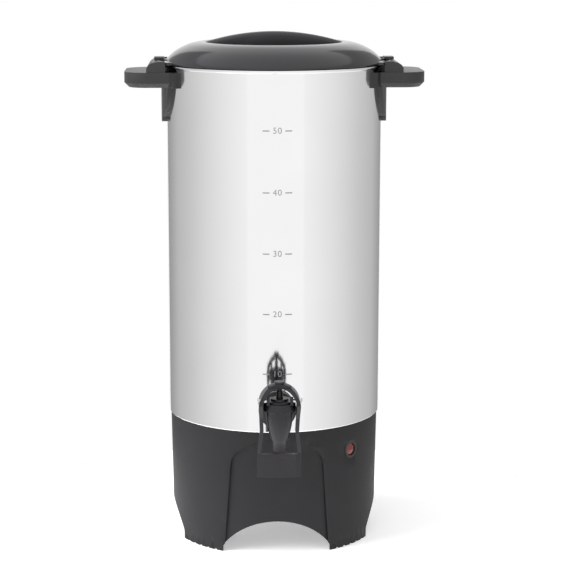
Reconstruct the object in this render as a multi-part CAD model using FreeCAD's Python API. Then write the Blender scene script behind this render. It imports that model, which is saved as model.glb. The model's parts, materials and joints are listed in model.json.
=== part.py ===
import FreeCAD, Part
import math
import os

# Coffee urn: steel vessel on a moulded base, twist-lock lid, two side grips and a cup-trip tap.
# Millimetres, +Z up, the tap faces -Y, the grips lie on the X axis and the feet stand on z = 0.
# Every piece is modelled about the vessel's axis and moved once at the end.

# Vessel
VESSEL_R = 95.3
VESSEL_WALL = 0.8
VESSEL_FLOOR_Z = 111.7
RIM_Z = 424.0
RIM_BEAD_R = 1.6
FLOOR_CORNER_R = 6.0

# Base shell
BASE_TOP_R = 93.7
BASE_FOOT_R = 91.7
BASE_WALL = 2.6
BASE_LEDGE = 12.0
PLATE_LEDGE_Z = 34.4
PLATE_LEDGE_WIDTH = 5.0
ARCH_FRONT_HALF = 47.0
ARCH_SIDE_HALF = 41.2
ARCH_APEX_Z = 30.4
ARCH_FRONT_SPRING_Z = 5.2
ARCH_SIDE_SPRING_Z = 8.0
RECESS_DEPTH = 2.0
RECESS_FOOT_HALF = 46.2
RECESS_SHOULDER_HALF = 40.0
RECESS_SHOULDER_Z = 88.0
RECESS_TOP_Z = 105.6
RECESS_CORNER_R = 20.0
NOTCH_R = 1.5
NOTCHES_PER_FOOT = 5
NOTCH_STEP_DEG = 5.4
FOOT_MIDDLE_DEG = 47.0

# Base plate and the stud that holds it
PLATE_T = 1.2
PLATE_CLEARANCE = 0.5
PLATE_LIP = 3.0
STUD_R = 2.5
STUD_TAIL = 3.0
NUT_FLATS = 8.0
NUT_T = 4.0
THREAD_GAP = 0.15

# Heater
WELL_R = 21.0
WELL_WALL = 0.8
WELL_DEPTH = 20.0
WELL_FLANGE = 6.0
ELEMENT_RING_R = 33.0
ELEMENT_ROD_R = 4.0
ELEMENT_GAP_DEG = 44.0
ELEMENT_TAIL = 12.0
CLAMP_T = 1.2
CLAMP_GAP = 0.3
THERMOSTAT_R = 9.0
THERMOSTAT_H = 9.0
THERMOSTAT_X = 58.0
FUSE_R = 3.0
FUSE_LENGTH = 22.0
FUSE_X = -58.0
CLIP_T = 1.0

# Mains inlet at the back
INLET_Z = 62.0
INLET_WIDTH = 36.0
INLET_HEIGHT = 24.0
INLET_WALL = 3.0
INLET_DEPTH = 24.0
INLET_FLOOR_T = 5.0
INLET_FLANGE = 3.0
INLET_PIN_R = 2.4
INLET_PIN_PITCH = 17.5
INLET_PIN_LENGTH = 13.0
INLET_SEAT_GAP = 0.1
INLET_SHANK_R = 2.0
INLET_TAG_LENGTH = 7.0
INLET_CORNER_R = 5.0
FIT_GAP = 0.3
LEAD_R = 1.3
LEAD_BEND_R = 7.0

# Ready lamp in the front right of the base
LAMP_DEG = 45.2
LAMP_Z = 88.5
LAMP_R = 5.6
LAMP_CROWN = 1.4
LAMP_BEZEL_R = 6.6
LAMP_BEZEL_DEPTH = 1.4
LAMP_LENGTH = 16.0
LAMP_WALL = 1.2
LAMP_GAP = 0.1
BULB_R = 3.0
BULB_LENGTH = 11.0
LAMP_CLIP_R = 9.0

# Side grips
GRIP_REACH = 131.2
GRIP_HALF_WIDTH = 40.0
GRIP_BOTTOM_Z = 405.0
GRIP_TOP_Z = 418.2
GRIP_CORNER_R = 20.0
GRIP_WALL = 3.0
GRIP_CHAMFER = 4.0
GRIP_SEAT_GAP = 0.05
PAD_T = 4.3
PAD_HALF_DEG = 28.0
LEG_BOTTOM_Z = 374.0
LEG_TOP_HALF = 36.0
LEG_TIP_HALF = 18.0
LUG_INNER_R = 101.6
LUG_OUTER_X = 111.5
LUG_TOP_Z = 427.4
LUG_SHOULDER_Z = 421.6
LUG_HALF_WIDTH = 36.0
LUG_WALL = 2.6
HOOK_HALF_WIDTH = 8.0
HOOK_INNER_R = 97.4
HOOK_T = 2.3
GUSSET_T = 3.0
GUSSET_Y = 23.0
GRIP_SCREW_R = 2.1
GRIP_SCREW_HEAD_R = 4.0
GRIP_SCREW_HEAD_T = 2.0
GRIP_SCREW_BITE = 3.2
GRIP_SCREW_HEIGHTS = (409.5, 386.0)
SCREW_GAP = 0.15

# Lid
LID_BRIM_R = 96.4
LID_SEAT_GAP = 0.3
LID_EDGE_H = 1.5
LID_WALL = 2.2
LID_KNEE_R = 79.9
LID_KNEE_Z = 438.9
LID_CREST_R = 62.0
LID_SHOULDER_R = 89.0
LID_SHOULDER_Z = 433.5
LID_CREST_Z = 443.0
WELL_MOUTH_ROUND = 5.0
WELL_FLOOR_R = 49.0
WELL_FLOOR_Z = 424.0
LID_SKIRT_GAP = 0.6
LID_SKIRT_T = 2.0
LID_SKIRT_DEPTH = 9.0
EAR_R = 101.0
EAR_T = 2.4
EAR_OUTER_DEG = 22.0
EAR_NOTCH_DEG = 6.6
BAR_T = 18.0
BAR_RISE = 8.7
BAR_TOP_Z = LID_CREST_Z + BAR_RISE
BAR_ROUND = 3.0
BAR_WALL_GAP = 0.2
LID_SCREW_R = 2.4
LID_SCREW_HEAD_R = 5.0
LID_SCREW_HEAD_T = 2.2
LID_SCREW_BITE = 14.0
RUNNING_GAP = 0.06

# Brewing parts
TUBE_R = 4.8
TUBE_WALL = 0.8
TUBE_TOP_Z = 412.0
BELL_R = 18.5
BELL_H = 17.0
BELL_WALL = 1.0
BELL_LIFT = 1.2
TUBE_SHOULDER_R = 9.0
TUBE_SHOULDER_T = 3.0
BASKET_R = 57.0
BASKET_H = 104.0
BASKET_WALL = 1.0
BASKET_TOP_Z = 400.0
BASKET_LIP = 2.5
BASKET_SLEEVE_GAP = 0.6
BASKET_SLEEVE_T = 1.0
BASKET_SLEEVE_H = 30.0
COVER_T = 1.0
COVER_RIM_H = 5.0
COVER_DISH = 6.0
COVER_GAP = 0.4
HOLE_R = 1.6
BASKET_HOLE_RINGS = ((18.0, 8), (32.0, 14), (46.0, 20))
COVER_HOLE_RINGS = ((22.0, 8), (38.0, 14))

# Tap
TAP_AXIS_OUT = 54.7
TAP_HOLE_Z = 133.3
SHANK_R = 8.0
SHANK_BORE_R = 4.2
SHANK_GAP = 0.3
FLANGE_R = 16.3
FLANGE_T = 3.0
WASHER_T = 2.0
INNER_WASHER_R = 13.0
TAP_NUT_FLATS = 24.0
TAP_NUT_T = 6.0
SHANK_TAIL = 2.0
COLLAR_R = 13.5
COLLAR_TOP_Z = 153.6
COLLAR_H = 7.6
GOBLET_R = 11.4
NECK_R = 7.2
NECK_Z = 121.0
SPOUT_R = 5.5
SPOUT_BOTTOM_Z = 112.0
SPOUT_BORE_R = 3.7
CHAMBER_R = 8.6
CHAMBER_TOP_Z = 145.0
SEAT_Z = 127.0
BONNET_T = 3.2
BONNET_PLUG_H = 5.0
BONNET_GAP = 0.1
STEM_R = 2.8
STEM_GAP = 0.08
STEM_NECK_R = 2.0
STEM_HEAD_R = 4.4
STEM_HEAD_T = 1.8
STEM_HEAD_GAP = 0.3
CUP_R = 6.4
CUP_H = 8.0
CUP_WALL = 1.4
LEVER_PIVOT_OUT = 10.0
LEVER_PIVOT_Z = 157.0
LEVER_HOOP_R = 17.4
LEVER_BAND = 3.2
LEVER_HOOP_Z = 151.6
LEVER_WAIST_HALF = 16.4
LEVER_WAIST_Z = 128.0
PADDLE_HALF_WIDTH = 18.7
PADDLE_TOP_Z = 107.0
PADDLE_BOTTOM_Z = 86.6
PADDLE_T = 4.0
PADDLE_BEVEL = 2.6
LEVER_T = 5.0
LEVER_CROWN_BACK = 6.5
LEVER_BACK_LEAN = 6.6
FORK_HALF = 2.5
PIN_R = 1.5
EAR_PLATE_T = 2.4
EAR_PLATE_GAP = 0.35
PIN_HEAD_T = 0.8
KNUCKLE_R = 3.2
PIN_HEAD_R = 2.4

# Worked-out places that more than one piece shares
VESSEL_INNER_R = VESSEL_R - VESSEL_WALL
RIM_OUTER_R = VESSEL_R - VESSEL_WALL / 2 + RIM_BEAD_R
RIM_INNER_R = VESSEL_R - VESSEL_WALL / 2 - RIM_BEAD_R
TAP_Y = -(VESSEL_R + TAP_AXIS_OUT)
PIVOT_Y = TAP_Y - LEVER_PIVOT_OUT
WELL_BOTTOM_Z = VESSEL_FLOOR_Z - WELL_DEPTH
LID_EDGE_Z = RIM_Z + LID_SEAT_GAP
BASKET_FLOOR_Z = BASKET_TOP_Z - BASKET_H
BONNET_TOP_Z = COLLAR_TOP_Z + BONNET_T
HOOP_TOP_Z = LEVER_HOOP_Z + LEVER_HOOP_R
PLATE_R = BASE_FOOT_R - BASE_WALL - RECESS_DEPTH - PLATE_CLEARANCE
FRONT_REACH = -TAP_Y + COLLAR_R
REAR_REACH = RIM_OUTER_R
ORIGIN_SHIFT_Y = (FRONT_REACH - REAR_REACH) / 2

X_AXIS = FreeCAD.Vector(1, 0, 0)
Y_AXIS = FreeCAD.Vector(0, 1, 0)
Z_AXIS = FreeCAD.Vector(0, 0, 1)
CENTRE = FreeCAD.Vector(0, 0, 0)


# Small shared operations

def xz(point):
    return FreeCAD.Vector(point[0], 0, point[1])


def yz(point):
    return FreeCAD.Vector(0, point[0], point[1])


def xy(point):
    return FreeCAD.Vector(point[0], point[1], 0)


def face_of(plane, start, *steps):
    # A step is an end point, or a pair of (point on the arc, end point).
    edges = []
    here = start
    for step in steps:
        if isinstance(step[0], tuple):
            edges.append(Part.Arc(plane(here), plane(step[0]), plane(step[1])).toShape())
            here = step[1]
        else:
            edges.append(Part.makeLine(plane(here), plane(step)))
            here = step
    if math.dist(here, start) > 1e-6:
        edges.append(Part.makeLine(plane(here), plane(start)))
    return Part.Face(Part.Wire(edges))


def spun(start, *steps):
    return face_of(xz, start, *steps).revolve(CENTRE, Z_AXIS, 360)


def disc(radius, low, high):
    return Part.makeCylinder(radius, high - low, FreeCAD.Vector(0, 0, low))


def ring(inner, outer, low, high):
    return disc(outer, low, high).cut(disc(inner, low - 1, high + 1))


def box(x_range, y_range, z_range):
    corner = FreeCAD.Vector(x_range[0], y_range[0], z_range[0])
    return Part.makeBox(x_range[1] - x_range[0], y_range[1] - y_range[0],
                        z_range[1] - z_range[0], corner)


def rod(radius, start, end):
    way = end - start
    return Part.makeCylinder(radius, way.Length, start, way)


def hexagon(flats, start, end):
    corner = flats / math.sqrt(3)
    points = [FreeCAD.Vector(corner * math.cos(math.radians(60 * turn)),
                             corner * math.sin(math.radians(60 * turn)), 0)
              for turn in range(7)]
    prism = Part.Face(Part.makePolygon(points)).extrude(FreeCAD.Vector(0, 0, (end - start).Length))
    prism.Placement = FreeCAD.Placement(start, FreeCAD.Rotation(Z_AXIS, end - start))
    return prism


def turned(shape, degrees):
    copy = shape.copy()
    copy.rotate(CENTRE, Z_AXIS, degrees)
    return copy


def moved(shape, x=0, y=0, z=0):
    copy = shape.copy()
    copy.translate(FreeCAD.Vector(x, y, z))
    return copy


def fused(shapes):
    return shapes[0].multiFuse(shapes[1:]).removeSplitter()


def wedge(half_deg, reach, low, high):
    # A sector about +X, used to trim rings to an angle.
    side = math.radians(half_deg)
    corner = (reach * math.cos(side), reach * math.sin(side))
    face = face_of(xy, (0, 0), (corner[0], -corner[1]), ((reach, 0), corner))
    return moved(face.extrude(FreeCAD.Vector(0, 0, high - low)), z=low)


def rounded_box(width, height, corner, y_low, y_high, z_middle):
    block = box((-width / 2, width / 2), (y_low, y_high), (z_middle - height / 2, z_middle + height / 2))
    edges = [edge for edge in block.Edges
             if abs(edge.Vertexes[0].Point.y - edge.Vertexes[1].Point.y) > 1e-6]
    return block.makeFillet(corner, edges)


def bent_rod(radius, bend, points):
    # Straight runs joined by tangent arcs of one bend radius.
    edges = []
    here = points[0]
    for before, corner, after in zip(points, points[1:], points[2:]):
        way_in = (corner - before).normalize()
        way_out = (after - corner).normalize()
        half_turn = way_in.getAngle(way_out) / 2
        back = bend * math.tan(half_turn)
        start = corner - way_in * back
        end = corner + way_out * back
        inward = (way_out - way_in).normalize()
        middle = corner + inward * (bend / math.cos(half_turn) - bend)
        edges.append(Part.makeLine(here, start))
        edges.append(Part.Arc(start, middle, end).toShape())
        here = end
    edges.append(Part.makeLine(here, points[-1]))
    spine = Part.Wire(edges)
    circle = Part.Wire(Part.makeCircle(radius, points[0], points[1] - points[0]))
    return spine.makePipeShell([circle], True, False)


# Vessel

def vessel():
    bead = RIM_Z - RIM_BEAD_R
    middle_r = VESSEL_R - VESSEL_WALL / 2
    outer = spun((0, VESSEL_FLOOR_Z),
                 (VESSEL_R - FLOOR_CORNER_R, VESSEL_FLOOR_Z),
                 (corner_point(VESSEL_R, VESSEL_FLOOR_Z, FLOOR_CORNER_R),
                  (VESSEL_R, VESSEL_FLOOR_Z + FLOOR_CORNER_R)),
                 (VESSEL_R, bead),
                 (0, bead))
    inner_corner = FLOOR_CORNER_R - VESSEL_WALL
    floor = VESSEL_FLOOR_Z + VESSEL_WALL
    inner = spun((0, floor),
                 (VESSEL_INNER_R - inner_corner, floor),
                 (corner_point(VESSEL_INNER_R, floor, inner_corner),
                  (VESSEL_INNER_R, floor + inner_corner)),
                 (VESSEL_INNER_R, bead + 1),
                 (0, bead + 1))
    roll = Part.makeTorus(middle_r, RIM_BEAD_R, FreeCAD.Vector(0, 0, bead), Z_AXIS)
    shell = outer.cut(inner).fuse(roll)
    cuts = [disc(WELL_R - WELL_WALL, VESSEL_FLOOR_Z - 1, floor + 1)]
    hole = SHANK_R + SHANK_GAP
    cuts.append(rod(hole, FreeCAD.Vector(0, -VESSEL_R - 2, TAP_HOLE_Z),
                    FreeCAD.Vector(0, -VESSEL_INNER_R + 3, TAP_HOLE_Z)))
    for side in (-1, 1):
        for height in GRIP_SCREW_HEIGHTS:
            cuts.append(rod(GRIP_SCREW_R + SCREW_GAP,
                            FreeCAD.Vector(side * (VESSEL_INNER_R - 3), 0, height),
                            FreeCAD.Vector(side * (VESSEL_R + 2), 0, height)))
    return shell.cut(cuts)


def corner_point(radius, floor, corner):
    # The middle of the quarter round where a floor turns up into a wall.
    inset = corner * (1 - math.sqrt(0.5))
    return (radius - inset, floor + inset)


# Base shell with its arches, front recess and toothed feet

def base_outer_r(height):
    return BASE_FOOT_R + (BASE_TOP_R - BASE_FOOT_R) * height / VESSEL_FLOOR_Z


def arch_cut(half_width, spring_z, plane, way):
    rise = ARCH_APEX_Z - spring_z
    half_chord = half_width
    radius = (half_chord ** 2 + rise ** 2) / (2 * rise)
    assert radius > rise
    face = face_of(plane, (-half_width, -1), (-half_width, spring_z),
                   ((0, ARCH_APEX_Z), (half_width, spring_z)), (half_width, -1))
    prism = face.extrude(way * (2 * BASE_TOP_R + 20))
    prism.translate(way * (-BASE_TOP_R - 10))
    return prism


def recess_outline(grow):
    shoulder = RECESS_SHOULDER_HALF + grow
    slope = (RECESS_FOOT_HALF - RECESS_SHOULDER_HALF) / RECESS_SHOULDER_Z
    rise = RECESS_TOP_Z + grow - RECESS_SHOULDER_Z
    arch_r = (shoulder ** 2 + rise ** 2) / (2 * rise)
    arch_z = RECESS_TOP_Z + grow - arch_r
    side = FreeCAD.Vector(-slope, 0, 1).normalize()
    out = FreeCAD.Vector(1, 0, slope).normalize()
    start = FreeCAD.Vector(shoulder, 0, RECESS_SHOULDER_Z - arch_z) - out * RECESS_CORNER_R
    along = start.dot(side)
    room = (arch_r - RECESS_CORNER_R) ** 2 - start.dot(start)
    centre = start + side * (math.sqrt(along ** 2 + room) - along)
    up = FreeCAD.Vector(centre).normalize()
    between = (out + up).normalize()
    points = (centre + out * RECESS_CORNER_R, centre + between * RECESS_CORNER_R, up * arch_r)
    return shoulder + slope * RECESS_SHOULDER_Z, [(point.x, point.z + arch_z) for point in points]


def recess_prism(grow):
    foot, (low, middle, high) = recess_outline(grow)
    left_low, left_middle, left_high = [(-x, z) for x, z in (low, middle, high)]
    face = face_of(xz, (-foot, -1), left_low, (left_middle, left_high),
                   ((0, RECESS_TOP_Z + grow), high), (middle, low), (foot, -1))
    return face.extrude(Y_AXIS * -(BASE_TOP_R + 10))


def notch_cuts():
    cutter = Part.makeCylinder(NOTCH_R, 4 * BASE_WALL + 10,
                               FreeCAD.Vector(BASE_FOOT_R - 2 * BASE_WALL - 5, 0, 0), X_AXIS)
    middles = [90 - FOOT_MIDDLE_DEG, 90 + FOOT_MIDDLE_DEG, 270 - FOOT_MIDDLE_DEG, 270 + FOOT_MIDDLE_DEG]
    offsets = [index - (NOTCHES_PER_FOOT - 1) / 2 for index in range(NOTCHES_PER_FOOT)]
    return [turned(cutter, middle + offset * NOTCH_STEP_DEG) for middle in middles for offset in offsets]


def base_cone(inset, low, high):
    return spun((0, low), (base_outer_r(low) - inset, low), (base_outer_r(high) - inset, high), (0, high))


def base_shell():
    skin = base_cone(0, 0, VESSEL_FLOOR_Z).cut(base_cone(BASE_WALL, -1, VESSEL_FLOOR_Z + 1))
    ledge = ring(BASE_TOP_R - BASE_WALL - BASE_LEDGE, BASE_TOP_R - 1, VESSEL_FLOOR_Z - BASE_WALL, VESSEL_FLOOR_Z)
    plate_ledge = ring(PLATE_R - PLATE_LEDGE_WIDTH, base_outer_r(PLATE_LEDGE_Z) - 1,
                       PLATE_LEDGE_Z, PLATE_LEDGE_Z + BASE_WALL)
    thick = base_cone(BASE_WALL / 2, 0, VESSEL_FLOOR_Z).cut(base_cone(BASE_WALL + RECESS_DEPTH, -1, VESSEL_FLOOR_Z + 1))
    backing = thick.common(recess_prism(BASE_WALL))
    shell = fused([skin, ledge, plate_ledge, backing])
    sunk = base_cone(-5, -1, VESSEL_FLOOR_Z - 1).cut(base_cone(RECESS_DEPTH, -2, VESSEL_FLOOR_Z))
    cuts = [sunk.common(recess_prism(0)),
            arch_cut(ARCH_FRONT_HALF, ARCH_FRONT_SPRING_Z, xz, Y_AXIS),
            arch_cut(ARCH_SIDE_HALF, ARCH_SIDE_SPRING_Z, yz, X_AXIS),
            rounded_box(INLET_WIDTH + 2 * FIT_GAP, INLET_HEIGHT + 2 * FIT_GAP, INLET_CORNER_R + FIT_GAP,
                        BASE_FOOT_R - 3 * BASE_WALL, BASE_TOP_R + 5, INLET_Z),
            lamp_place(disc(LAMP_R + LAMP_WALL + LAMP_GAP, -LAMP_LENGTH, 5)),
            lamp_place(disc(LAMP_BEZEL_R + LAMP_WALL, -LAMP_BEZEL_DEPTH, 5))]
    return shell.cut(cuts + notch_cuts())


def base_plate():
    low = PLATE_LEDGE_Z - PLATE_T
    plate = disc(PLATE_R, low, PLATE_LEDGE_Z)
    dish = ring(PLATE_R - PLATE_LEDGE_WIDTH - PLATE_T - 1, PLATE_R - PLATE_LEDGE_WIDTH - 1,
                PLATE_LEDGE_Z - PLATE_T / 2, PLATE_LEDGE_Z + PLATE_LIP)
    slots = [turned(slot_prism(26.0, 4.0, low - 1, PLATE_LEDGE_Z + 1, radius), step * 60)
             for radius in (40.0, 55.0) for step in range(6)]
    hole = disc(STUD_R + THREAD_GAP, low - 1, PLATE_LEDGE_Z + 1)
    return plate.fuse(dish).cut(slots + [hole])


def slot_prism(length, width, low, high, radius):
    middle = box((radius - width / 2, radius + width / 2), (-length / 2 + width / 2, length / 2 - width / 2),
                 (low, high))
    ends = [moved(disc(width / 2, low, high), radius, side * (length / 2 - width / 2)) for side in (-1, 1)]
    return fused([middle] + ends)


# Heater under the vessel floor

def heating_well():
    cup = ring(WELL_R - WELL_WALL, WELL_R, WELL_BOTTOM_Z, VESSEL_FLOOR_Z)
    bottom = disc(WELL_R, WELL_BOTTOM_Z, WELL_BOTTOM_Z + WELL_WALL)
    flange = ring(WELL_R - WELL_WALL, WELL_R + WELL_FLANGE, VESSEL_FLOOR_Z - WELL_WALL, VESSEL_FLOOR_Z)
    return fused([cup, bottom, flange])


def element_z():
    return VESSEL_FLOOR_Z - ELEMENT_ROD_R


def element_tail_places():
    half = math.radians(ELEMENT_GAP_DEG / 2)
    return [FreeCAD.Vector(side * ELEMENT_RING_R * math.sin(half),
                           ELEMENT_RING_R * math.cos(half), element_z()) for side in (-1, 1)]


def heating_element():
    sweep = 360 - ELEMENT_GAP_DEG
    circle = Part.Face(Part.Wire(Part.makeCircle(ELEMENT_ROD_R, FreeCAD.Vector(ELEMENT_RING_R, 0, 0), Y_AXIS)))
    bow = circle.revolve(CENTRE, Z_AXIS, sweep)
    bow = moved(turned(bow, 90 + ELEMENT_GAP_DEG / 2), z=element_z())
    pieces = [bow]
    for place in element_tail_places():
        pieces.append(Part.makeSphere(ELEMENT_ROD_R, place))
        pieces.append(rod(ELEMENT_ROD_R * 0.8, place, place - Z_AXIS * ELEMENT_TAIL))
    return fused(pieces)


def clamp_bottom_z():
    return WELL_BOTTOM_Z - CLAMP_GAP - CLAMP_T


def element_clamp():
    top = VESSEL_FLOOR_Z - 2 * ELEMENT_ROD_R
    wall_in = WELL_R + CLAMP_GAP
    low = clamp_bottom_z()
    brim = ring(wall_in, ELEMENT_RING_R + ELEMENT_ROD_R, top - CLAMP_T, top)
    wall = ring(wall_in, wall_in + CLAMP_T, low, top)
    floor = ring(STUD_R + THREAD_GAP, wall_in + CLAMP_T, low, low + CLAMP_T)
    gaps = []
    for place in element_tail_places():
        gaps.append(rod(ELEMENT_ROD_R + 0.5, place, place - Z_AXIS * (ELEMENT_TAIL + 10)))
    return fused([brim, wall, floor]).cut(gaps)


def centre_stud():
    low = PLATE_LEDGE_Z - PLATE_T - NUT_T - STUD_TAIL
    return disc(STUD_R, low, WELL_BOTTOM_Z)


def stud_nut(top):
    nut = hexagon(NUT_FLATS, FreeCAD.Vector(0, 0, top - NUT_T), FreeCAD.Vector(0, 0, top))
    return nut.cut(disc(STUD_R + THREAD_GAP, top - NUT_T - 1, top + 1))


def thermostat():
    can = moved(disc(THERMOSTAT_R, VESSEL_FLOOR_Z - THERMOSTAT_H, VESSEL_FLOOR_Z), THERMOSTAT_X)
    low = VESSEL_FLOOR_Z - THERMOSTAT_H
    tags = [box((THERMOSTAT_X - 3, THERMOSTAT_X + 3), (side * 5 - 0.4, side * 5 + 0.4), (low - 8, low))
            for side in (-1, 1)]
    return fused([can] + tags)


def thermostat_clip():
    # A strap under the thermostat, held to the floor by two welded studs.
    low = VESSEL_FLOOR_Z - THERMOSTAT_H - CLIP_T
    inner = THERMOSTAT_R + 1
    outer = inner + CLIP_T
    strap = box((THERMOSTAT_X - 1.5 - THERMOSTAT_R / 3, THERMOSTAT_X + 1.5 + THERMOSTAT_R / 3),
                (-outer, outer), (low, low + CLIP_T))
    legs = [box((THERMOSTAT_X - 4, THERMOSTAT_X + 4), sorted((side * inner, side * outer)),
                (low, VESSEL_FLOOR_Z)) for side in (-1, 1)]
    window = box((THERMOSTAT_X - 3.5, THERMOSTAT_X + 3.5), (-6, 6), (low - 1, low + CLIP_T + 1))
    return fused([strap] + legs).cut(window)


def thermal_fuse():
    top = VESSEL_FLOOR_Z - CLIP_T
    body = rod(FUSE_R, FreeCAD.Vector(FUSE_X, -FUSE_LENGTH / 2, top - FUSE_R),
               FreeCAD.Vector(FUSE_X, FUSE_LENGTH / 2, top - FUSE_R))
    return body


def fuse_clip():
    top = VESSEL_FLOOR_Z - CLIP_T
    half = FUSE_LENGTH / 4
    outer_r = FUSE_R + CLIP_T
    hoop = rod(outer_r, FreeCAD.Vector(FUSE_X, -half, top - FUSE_R), FreeCAD.Vector(FUSE_X, half, top - FUSE_R))
    bore = rod(FUSE_R, FreeCAD.Vector(FUSE_X, -half - 1, top - FUSE_R),
               FreeCAD.Vector(FUSE_X, half + 1, top - FUSE_R))
    strap = box((FUSE_X - outer_r - 6, FUSE_X + outer_r + 6), (-half, half), (top, VESSEL_FLOOR_Z))
    lower = box((FUSE_X - outer_r - 1, FUSE_X + outer_r + 1), (-half - 1, half + 1),
                (top - 2 * outer_r - 5, top - FUSE_R - FUSE_R / 2))
    return hoop.cut(bore).cut(lower).fuse(strap).cut(bore).removeSplitter()


# Mains inlet

def inlet_back_y():
    return BASE_FOOT_R - INLET_DEPTH


def inlet_housing():
    outer_y = base_outer_r(INLET_Z) - 0.6
    back = inlet_back_y()
    block = rounded_box(INLET_WIDTH, INLET_HEIGHT, INLET_CORNER_R, back, outer_y, INLET_Z)
    inner_y = inlet_inner_y()
    flange = rounded_box(INLET_WIDTH + 2 * INLET_FLANGE, INLET_HEIGHT + 2 * INLET_FLANGE,
                         INLET_CORNER_R, inner_y - INLET_FLANGE, inner_y, INLET_Z)
    socket = rounded_box(INLET_WIDTH - 2 * INLET_WALL, INLET_HEIGHT - 2 * INLET_WALL,
                         INLET_CORNER_R - 1, back + INLET_FLOOR_T, outer_y + 5, INLET_Z)
    holes = [rod(INLET_SHANK_R, FreeCAD.Vector(side * INLET_PIN_PITCH / 2, back - 1, INLET_Z),
                 FreeCAD.Vector(side * INLET_PIN_PITCH / 2, back + INLET_FLOOR_T + 1, INLET_Z))
             for side in (-1, 1)]
    return fused([block, flange]).cut([socket] + holes)


def inlet_inner_y():
    # The inner face of the base wall at the flange's far corner, so that the flat flange clears the curve.
    half = INLET_WIDTH / 2 + INLET_FLANGE
    reach = INLET_HEIGHT / 2 + INLET_FLANGE
    outer_r = min(base_outer_r(INLET_Z - reach), base_outer_r(INLET_Z + reach))
    inner_r = outer_r - BASE_WALL - INLET_SEAT_GAP
    return math.sqrt(inner_r ** 2 - half ** 2)


def inlet_pins():
    back = inlet_back_y()
    pins = []
    for side in (-1, 1):
        x = side * INLET_PIN_PITCH / 2
        tip = back + INLET_FLOOR_T + INLET_PIN_LENGTH
        foot = FreeCAD.Vector(x, back + INLET_FLOOR_T, INLET_Z)
        pin = rod(INLET_PIN_R, foot, FreeCAD.Vector(x, tip, INLET_Z))
        shank = rod(INLET_SHANK_R, FreeCAD.Vector(x, back - 1, INLET_Z), foot)
        tag = box((x - 0.5, x + 0.5), (back - 1 - INLET_TAG_LENGTH, back - 1), (INLET_Z - 3, INLET_Z + 3))
        pins.append(fused([pin, shank, tag]))
    return Part.makeCompound(pins)


def lead(side):
    # From an inlet tag up to the heater tail of the same side.
    tail = element_tail_places()[0 if side < 0 else 1]
    tag_y = inlet_back_y() - 1 - INLET_TAG_LENGTH
    end_z = tail.z - ELEMENT_TAIL
    points = [FreeCAD.Vector(side * INLET_PIN_PITCH / 2, tag_y, INLET_Z),
              FreeCAD.Vector(side * INLET_PIN_PITCH / 2, tag_y - 14, INLET_Z),
              FreeCAD.Vector(tail.x, tail.y, INLET_Z + 6),
              FreeCAD.Vector(tail.x, tail.y, end_z)]
    return bent_rod(LEAD_R, LEAD_BEND_R, points)


# Ready lamp

def lamp_place(shape):
    # Stands a piece made about +Z on the base's surface at the lamp, facing outwards.
    angle = math.radians(LAMP_DEG)
    out = FreeCAD.Vector(math.sin(angle), -math.cos(angle), 0)
    copy = shape.copy()
    copy.Placement = FreeCAD.Placement(out * base_outer_r(LAMP_Z) + Z_AXIS * LAMP_Z,
                                       FreeCAD.Rotation(Z_AXIS, out)).multiply(copy.Placement)
    return copy


def lamp_lens():
    front = -LAMP_BEZEL_DEPTH + LAMP_CROWN
    ball_r = (LAMP_R ** 2 + LAMP_CROWN ** 2) / (2 * LAMP_CROWN)
    ball = Part.makeSphere(ball_r, FreeCAD.Vector(0, 0, front - ball_r))
    body = disc(LAMP_R, -LAMP_LENGTH, front + 1).common(ball)
    hollow = disc(LAMP_R - LAMP_WALL, -LAMP_LENGTH - 1, -LAMP_BEZEL_DEPTH - LAMP_WALL)
    return lamp_place(body.cut(hollow))


def lamp_bezel():
    outer = LAMP_BEZEL_R + LAMP_WALL - LAMP_GAP
    head = ring(LAMP_R + LAMP_GAP, outer, -LAMP_BEZEL_DEPTH, 0)
    sleeve = ring(LAMP_R + LAMP_GAP / 2, LAMP_R + LAMP_WALL, -LAMP_LENGTH + 4, -LAMP_BEZEL_DEPTH)
    return lamp_place(fused([head, sleeve]))


def lamp_bulb():
    low = -LAMP_LENGTH + 1
    glass = disc(BULB_R, low, low + BULB_LENGTH - BULB_R)
    nose = Part.makeSphere(BULB_R, FreeCAD.Vector(0, 0, low + BULB_LENGTH - BULB_R))
    legs = [moved(disc(0.4, low - 8, low + 1), side * 1.2) for side in (-1, 1)]
    return lamp_place(fused([glass, nose] + legs))


def lamp_clip():
    top = -BASE_WALL - 2.0
    washer = ring(LAMP_R + LAMP_WALL, LAMP_CLIP_R, top - CLIP_T, top)
    slots = [box((LAMP_R, LAMP_R + LAMP_WALL + 1.6), (-0.6, 0.6), (top - 3, top + 2))]
    return lamp_place(washer.cut([turned(slot, step * 90) for slot in slots for step in range(4)]))


# Side grips

def leg_prism():
    # Shield outline seen along X, from the grip down to the rounded tip.
    mid_z = (GRIP_BOTTOM_Z + LEG_BOTTOM_Z) / 2 + 4
    bulge = LEG_TOP_HALF - (LEG_TOP_HALF - LEG_TIP_HALF) * 0.22
    tip_round = 4.0
    tip = LEG_TIP_HALF - tip_round
    face = face_of(yz, (-LEG_TOP_HALF, GRIP_TOP_Z), (-LEG_TOP_HALF, GRIP_BOTTOM_Z),
                   ((-bulge, mid_z), (-LEG_TIP_HALF, LEG_BOTTOM_Z + tip_round)),
                   (corner_at(-LEG_TIP_HALF, tip_round), (-tip, LEG_BOTTOM_Z)),
                   (tip, LEG_BOTTOM_Z),
                   (corner_at(LEG_TIP_HALF, -tip_round), (LEG_TIP_HALF, LEG_BOTTOM_Z + tip_round)),
                   ((bulge, mid_z), (LEG_TOP_HALF, GRIP_BOTTOM_Z)), (LEG_TOP_HALF, GRIP_TOP_Z))
    return face.extrude(X_AXIS * (GRIP_REACH + 10))


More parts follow.
